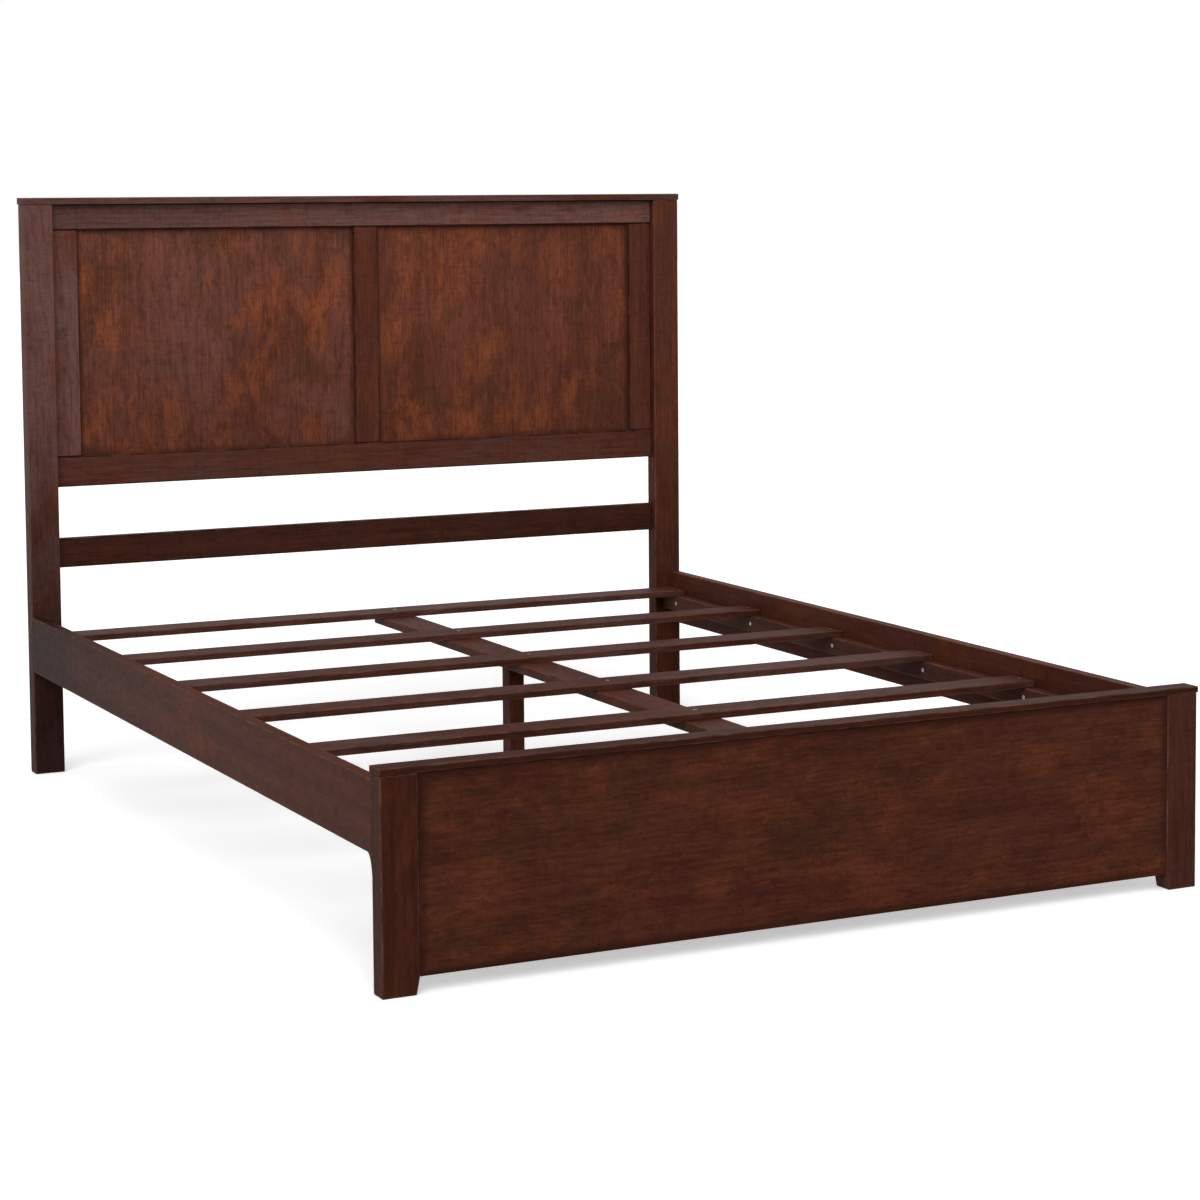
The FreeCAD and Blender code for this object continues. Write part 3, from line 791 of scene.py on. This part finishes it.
def slat_tree():
    """Row of slats with rounded long edges, evenly spaced towards the foot."""
    tree, given = new_geometry_tree("slat_row", {
        "Count": "Int", "Pitch": "Float", "Length": "Float", "Width": "Float", "Thickness": "Float",
        "Edge Radius": "Float", "Middle": "Vector", "Material": "Material",
    })
    section = add_node(tree, "GeometryNodeCurvePrimitiveQuadrilateral", {
        "Width": given["Width"], "Height": given["Thickness"],
    })
    rounded = add_node(tree, "GeometryNodeFilletCurve", {
        "Curve": section.outputs["Curve"], "Count": EDGE_STEPS, "Radius": given["Edge Radius"],
    }, mode="POLY")
    line = add_node(tree, "GeometryNodeCurvePrimitiveLine", {
        "Start": vector(tree, X=times(tree, given["Length"], -0.5)),
        "End": vector(tree, X=times(tree, given["Length"], 0.5)),
    })
    slat = add_node(tree, "GeometryNodeCurveToMesh", {
        "Curve": line.outputs["Curve"], "Profile Curve": rounded.outputs["Curve"], "Fill Caps": True,
    })
    row = add_node(tree, "GeometryNodeMeshLine", {
        "Count": given["Count"],
        "Start Location": given["Middle"],
        "Offset": vector(tree, Y=times(tree, given["Pitch"], -1.0)),
    }, mode="OFFSET")
    laid = add_node(tree, "GeometryNodeInstanceOnPoints", {
        "Points": row.outputs["Mesh"], "Instance": slat.outputs["Mesh"],
    })
    give_back(tree, laid.outputs["Instances"], given["Material"])
    return tree


def slat_names():
    """Names of the slats, counted from the headboard."""
    return sorted(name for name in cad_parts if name.startswith("slat_") and name != "slat_screws")


class BED_OT_slats(bpy.types.Operator):
    """Make the row of slats"""

    bl_idname = "panel_bed.slats"
    bl_label = "Slats"

    def execute(self, context):
        names = slat_names()
        low, high = node_box(names[0])
        second_low, _ = node_box(names[1])
        # The slats carry a strong painted sheen, standing in for the grey reflection along their tops
        wood = stained_wood(
            "slat_finish", X_AXIS, 51.6, warm=0.1, painted_sheen=0.8, shade=0.86, pooled=0.7, streaks=0.8)
        piece = grown("slats_wood", slat_tree(), {
            "Count": len(names),
            "Pitch": low.y - second_low.y,
            "Length": high.x - low.x,
            "Width": high.y - low.y,
            "Thickness": high.z - low.z,
            "Edge Radius": context.scene.panel_bed.boards.slat_edge,
            "Middle": tuple((low + high) / 2),
            "Material": wood,
        })
        finished(piece, wood, names)
        return {"FINISHED"}


# ---------------------------------------------------------------- screws

HEAD_SIDES = 20
SHANK_SIDES = 12
RECESS_REACH = 1.25


def screw_tree():
    """Countersunk screws with a cross recess, one at each point, driven along the point's facing."""
    tree, given = new_geometry_tree("wood_screws", {
        "Head Radius": "Float", "Head Depth": "Float", "Shank Radius": "Float", "Length": "Float",
        "Recess Width": "Float", "Recess Depth": "Float", "Material": "Material",
    })

    def moved(mesh, height):
        """Mesh moved up or down."""
        place = vector(tree, Z=height)
        node = add_node(tree, "GeometryNodeTransform", {"Geometry": mesh, "Translation": place})
        return node.outputs["Geometry"]

    head_bottom = times(tree, given["Head Depth"], -1.0)
    head = add_node(tree, "GeometryNodeMeshCone", {
        "Vertices": HEAD_SIDES,
        "Radius Top": given["Head Radius"],
        "Radius Bottom": given["Shank Radius"],
        "Depth": given["Head Depth"],
    })

    bars = add_node(tree, "GeometryNodeJoinGeometry")
    reach = times(tree, given["Head Radius"], RECESS_REACH)
    tall = times(tree, given["Recess Depth"], 2.0)
    for size in ({"X": reach, "Y": given["Recess Width"]}, {"X": given["Recess Width"], "Y": reach}):
        bar = add_node(tree, "GeometryNodeMeshCube", {"Size": vector(tree, Z=tall, **size)})
        put(tree, bars.inputs["Geometry"], bar.outputs["Mesh"])
    recess = add_node(tree, "GeometryNodeMeshBoolean", {
        "Mesh 1": moved(head.outputs["Mesh"], head_bottom), "Mesh 2": bars.outputs["Geometry"],
    }, operation="DIFFERENCE")

    shank_length = maths(tree, "SUBTRACT", given["Length"], given["Head Depth"])
    shank = add_node(tree, "GeometryNodeMeshCylinder", {
        "Vertices": SHANK_SIDES, "Radius": given["Shank Radius"], "Depth": shank_length,
    })
    middle = maths(tree, "ADD", times(tree, shank_length, -0.5), head_bottom)

    whole = add_node(tree, "GeometryNodeJoinGeometry")
    for mesh in (recess.outputs["Mesh"], moved(shank.outputs["Mesh"], middle)):
        put(tree, whole.inputs["Geometry"], mesh)
    facing = add_node(tree, "GeometryNodeInputNamedAttribute", {"Name": "facing"}, data_type="FLOAT_VECTOR")
    turn = add_node(
        tree, "FunctionNodeAlignRotationToVector", {"Vector": facing.outputs["Attribute"]}, axis="Z")
    driven = add_node(tree, "GeometryNodeInstanceOnPoints", {
        "Points": given["Geometry"],
        "Instance": whole.outputs["Geometry"],
        "Rotation": turn.outputs["Rotation"],
    })
    give_back(tree, driven.outputs["Instances"], given["Material"])
    return tree


class BED_OT_screws(bpy.types.Operator):
    """Make the screws in the slats, the ledgers and the leg"""

    bl_idname = "panel_bed.screws"
    bl_label = "Screws"

    def execute(self, context):
        sizes = context.scene.panel_bed.screws
        steel = zinc_plate("screw_zinc", (0.62, 0.58, 0.50), 2.0)
        tree = screw_tree()
        common = {
            "Head Radius": sizes.head_radius,
            "Head Depth": sizes.head_depth,
            "Shank Radius": sizes.shank_radius,
            "Recess Width": sizes.recess_width,
            "Recess Depth": sizes.recess_depth,
            "Material": steel,
        }

        top = node_box("slat_1")[1].z + sizes.proud
        low, high = node_box("slat_screws")
        edge_x = high.x - sizes.head_radius
        beam_low, beam_high = node_box("centre_beam")
        beam_x = (beam_low.x + beam_high.x) / 2
        slat_boxes = [node_box(name) for name in slat_names()]
        points = [
            (x, (slat_low.y + slat_high.y) / 2, top)
            for slat_low, slat_high in slat_boxes for x in (-edge_x, beam_x, edge_x)]
        facings = [(0, 0, 1)] * len(points)
        ends = grown("slat_screw_heads", tree, dict(common, Length=top - low.z), points, facings)

        low, high = node_box("ledger_screws")
        inner_x = node_box("right_slat_ledger")[0].x - sizes.proud
        height = (low.z + high.z) / 2
        pitch = (high.y - low.y - 2 * sizes.head_radius) / (len(slat_boxes) - 1)
        in_row = [low.y + sizes.head_radius + index * pitch for index in range(len(slat_boxes))]
        points = [(side * inner_x, y, height) for side in (-1, 1) for y in in_row]
        facings = [(-side, 0, 0) for side in (-1, 1) for _ in in_row]
        ledger = grown("ledger_screw_heads", tree, dict(common, Length=high.x - inner_x), points, facings)

        low, high = node_box("leg_screws")
        leg_y = (low.y + high.y) / 2
        leg_top = high.z + sizes.proud
        points = [(x, leg_y, leg_top) for x in (low.x + sizes.head_radius, high.x - sizes.head_radius)]
        facings = [(0, 0, 1)] * len(points)
        leg = grown("leg_screw_heads", tree, dict(common, Length=leg_top - low.z), points, facings)

        for piece, node in ((ends, "slat_screws"), (ledger, "ledger_screws"), (leg, "leg_screws")):
            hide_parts(node)
            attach(piece, FIXED)
        for node in ("rail_plate_screws", "post_plate_screws"):
            coated(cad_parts[node], steel)
        return {"FINISHED"}


# ---------------------------------------------------------------- plates and screw foot

THREAD_SIDES = 20
THREAD_ROWS = 4
THREAD_DEPTH = 0.45
GRIPS = 24
GRIP_STEPS = 4
GRIP_DEPTH = 0.035
RIM_SHARE = 0.97
# The moulded foot's outline: share of its radius and share of its height
FOOT_OUTLINE = (
    (0.86, 0.0), (0.97, 0.06), (1.0, 0.16), (1.0, 0.80), (0.96, 0.93), (0.88, 1.0), (0.42, 1.0), (0.36, 0.97))


class BED_OT_plates(bpy.types.Operator):
    """Finish the hooked plates, slotted plates and threaded insert"""

    bl_idname = "panel_bed.plates"
    bl_label = "Rail plates"

    def execute(self, context):
        steel = zinc_plate("plate_zinc", (0.50, 0.50, 0.52), 5.0)
        for node in ("rail_hook_plates", "post_slot_plates", "leg_threaded_insert"):
            coated(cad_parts[node], steel)
        return {"FINISHED"}


def turned_shape(name, centre, steps, reaches, heights):
    """Round closed shape; reaches gives the radius at a row and a step, heights the height of each row."""
    bm = bmesh.new()
    rings = []
    for row, height in enumerate(heights):
        ring = []
        for step in range(steps):
            angle = 2 * math.pi * step / steps
            reach = reaches(row, step)
            ring.append(bm.verts.new(
                (centre.x + reach * math.cos(angle), centre.y + reach * math.sin(angle), height)))
        rings.append(ring)
    skinned(bm, rings)
    bm.faces.new(rings[0][::-1])
    bm.faces.new(rings[-1])
    return object_from(bm, name)


def threaded_rod(name, low, high, pitch):
    """Rod with a rolled thread that runs out at both ends."""
    radius = (high.x - low.x) / 2
    rows = int((high.z - low.z) / pitch * THREAD_ROWS)
    heights = [low.z + (high.z - low.z) * row / rows for row in range(rows + 1)]

    def reach(row, step):
        """Radius of the thread at a row and a step round it."""
        phase = (heights[row] - low.z) / pitch - step / THREAD_SIDES
        wave = abs((phase % 1.0) * 2 - 1)
        run_out = min(1.0, row / THREAD_ROWS, (rows - row) / THREAD_ROWS)
        return radius - pitch * THREAD_DEPTH * (1 - wave * run_out)

    return turned_shape(name, (low + high) / 2, THREAD_SIDES, reach, heights)


def ribbed_foot(name, low, high):
    """Round moulded foot with a gripped rim and a dished top."""
    radius = (high.x - low.x) / 2

    def reach(row, step):
        """Radius of the foot at a row and a step round it."""
        share = FOOT_OUTLINE[row][0]
        notched = share >= RIM_SHARE and step % GRIP_STEPS in (0, 1)
        return radius * (share - (GRIP_DEPTH if notched else 0.0))

    heights = [low.z + (high.z - low.z) * up for _, up in FOOT_OUTLINE]
    return turned_shape(name, (low + high) / 2, GRIPS * GRIP_STEPS, reach, heights)


class BED_OT_screw_foot(bpy.types.Operator):
    """Make the adjustable foot under the centre leg"""

    bl_idname = "panel_bed.screw_foot"
    bl_label = "Screw foot"

    def execute(self, context):
        pitch = context.scene.panel_bed.screws.thread_pitch
        rod = threaded_rod("leveller_stem_thread", *node_box("leveller_stem"), pitch)
        coated(rod, zinc_plate("stem_zinc", (0.55, 0.55, 0.56), 8.0))
        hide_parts("leveller_stem")
        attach(rod, MOVING)
        foot = ribbed_foot("leveller_base_moulding", *node_box("leveller_base"))
        coated(foot, moulded_nylon("foot_nylon"))
        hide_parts("leveller_base")
        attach(foot, MOVING)
        return {"FINISHED"}


# ---------------------------------------------------------------- stage

FLOOR_HALF = 40.0
KEY_SOURCE = (-0.6, -1.0, 0.9)
KEY_SPREAD = math.radians(50)
TOP_SOURCE = (0.2, 0.1, 1.0)
TOP_SPREAD = math.radians(70)
SPOT_PLACE = (-0.5, -1.6, 1.6)
SPOT_TARGET = (-0.25, 1.03, 1.12)
SPOT_CONE = math.radians(48)
SPOT_RADIUS = 0.35
SENSOR_WIDTH = 36.0
SIGHT_RANGE = 100.0
WHITE = (1.0, 1.0, 1.0, 1.0)


def distant_light(name, source, spread_angle, strength):
    """Large soft light that shines from a direction towards the bed, the same all over the floor."""
    lamp = bpy.data.lights.new(name, "SUN")
    lamp.angle = spread_angle
    lamp.energy = strength
    holder = bpy.data.objects.new(name, lamp)
    holder.rotation_euler = Vector(source).to_track_quat("Z", "Y").to_euler()
    bpy.context.scene.collection.objects.link(holder)


def soft_spot(name, place, target, cone, radius, power):
    """Soft spotlight that fades out from its middle."""
    lamp = bpy.data.lights.new(name, "SPOT")
    lamp.spot_size = cone
    lamp.spot_blend = 1.0
    lamp.shadow_soft_size = radius
    lamp.energy = power
    holder = bpy.data.objects.new(name, lamp)
    holder.location = place
    holder.rotation_euler = (Vector(target) - Vector(place)).to_track_quat("-Z", "Y").to_euler()
    holder.visible_camera = False
    bpy.context.scene.collection.objects.link(holder)


def seen_directly(tree):
    """1 for rays from the camera, reflections and clear pieces, and 0 for scattered light."""
    path = add_node(tree, "ShaderNodeLightPath")
    seen = maths(tree, "MAXIMUM", path.outputs["Is Camera Ray"], path.outputs["Is Glossy Ray"])
    return maths(tree, "MAXIMUM", seen, path.outputs["Is Transmission Ray"])


def pale_floor(name, bounce, glow):
    """White floor for the camera that sends a smaller share of the light back up to the bed."""
    material, tree, shader = new_material(name)
    seen = seen_directly(tree)
    put(tree, shader.inputs["Base Color"], mixed(tree, seen, (bounce, bounce, bounce), WHITE))
    put(tree, shader.inputs["Emission Color"], WHITE)
    put(tree, shader.inputs["Emission Strength"], times(tree, seen, glow))
    put(tree, shader.inputs["Roughness"], 0.9)
    put(tree, shader.inputs["Specular IOR Level"], 0.0)
    return material


class BED_OT_stage(bpy.types.Operator):
    """Make the floor, the light and the camera"""

    bl_idname = "panel_bed.stage"
    bl_label = "Stage"

    def execute(self, context):
        scene = context.scene
        stage = scene.panel_bed.stage
        bm = bmesh.new()
        bmesh.ops.create_grid(bm, x_segments=1, y_segments=1, size=FLOOR_HALF)
        floor = object_from(bm, "floor")
        floor.data.materials.append(pale_floor("floor_white", stage.floor_bounce, stage.floor_glow))

        world = bpy.data.worlds.new("white_room")
        scene.world = world
        world.use_nodes = True
        tree = world.node_tree
        strength = add_node(tree, "ShaderNodeMapRange", {
            "Value": seen_directly(tree), "To Min": stage.room_light, "To Max": 1.0,
        })
        sky = tree.nodes["Background"]
        put(tree, sky.inputs["Strength"], strength.outputs["Result"])
        put(tree, sky.inputs["Color"], WHITE)

        distant_light("key_light", KEY_SOURCE, KEY_SPREAD, stage.key_light)
        distant_light("top_light", TOP_SOURCE, TOP_SPREAD, stage.fill_light)
        soft_spot("head_light", SPOT_PLACE, SPOT_TARGET, SPOT_CONE, SPOT_RADIUS, stage.head_light)

        scene.view_settings.view_transform = "Standard"
        lens = bpy.data.cameras.new("camera")
        lens.sensor_width = SENSOR_WIDTH
        lens.lens = stage.lens
        lens.shift_x, lens.shift_y = stage.shift_x, stage.shift_y
        lens.clip_end = SIGHT_RANGE
        camera = bpy.data.objects.new("camera", lens)
        ahead = Vector((
            math.sin(stage.heading) * math.cos(stage.tilt),
            math.cos(stage.heading) * math.cos(stage.tilt),
            math.sin(stage.tilt),
        ))
        level = Vector((math.cos(stage.heading), -math.sin(stage.heading), 0.0))
        over = level.cross(ahead)
        right = level * math.cos(stage.roll) + over * math.sin(stage.roll)
        up = over * math.cos(stage.roll) - level * math.sin(stage.roll)
        turn = Matrix((right, up, -ahead)).transposed().to_4x4()
        camera.matrix_world = Matrix.Translation(stage.eye) @ turn
        scene.collection.objects.link(camera)
        scene.camera = camera
        return {"FINISHED"}


class BED_PT_panel(bpy.types.Panel):
    """Buttons and sizes for the bed"""

    bl_idname = "BED_PT_panel"
    bl_label = "Panel Bed"
    bl_space_type = "VIEW_3D"
    bl_region_type = "UI"
    bl_category = "Panel Bed"

    def draw(self, context):
        for operator in OPERATORS:
            self.layout.operator(operator.bl_idname)
        settings = context.scene.panel_bed
        for group in (settings.finish, settings.boards, settings.screws, settings.stage):
            box = self.layout.box()
            for name in group.__annotations__:
                box.prop(group, name)


GROUPS = (BedFinish, BedBoards, BedScrews, BedStage, BedSettings)
OPERATORS = (
    BED_OT_posts, BED_OT_caps, BED_OT_headboard_frame, BED_OT_headboard_panels, BED_OT_footboard_panel,
    BED_OT_side_rails, BED_OT_supports, BED_OT_slats, BED_OT_screws, BED_OT_plates, BED_OT_screw_foot,
    BED_OT_stage,
)


def register():
    """Add the bed's settings, operators and panel."""
    for kind in (*GROUPS, *OPERATORS, BED_PT_panel):
        bpy.utils.register_class(kind)
    bpy.types.Scene.panel_bed = bpy.props.PointerProperty(type=BedSettings)


def unregister():
    """Take them away again."""
    del bpy.types.Scene.panel_bed
    for kind in (BED_PT_panel, *OPERATORS[::-1], *GROUPS[::-1]):
        bpy.utils.unregister_class(kind)


def main():
    """Build the whole bed and its stage."""
    register()
    for operator in OPERATORS:
        group, name = operator.bl_idname.split(".")
        getattr(getattr(bpy.ops, group), name)()


if __name__ == "__main__":
    main()
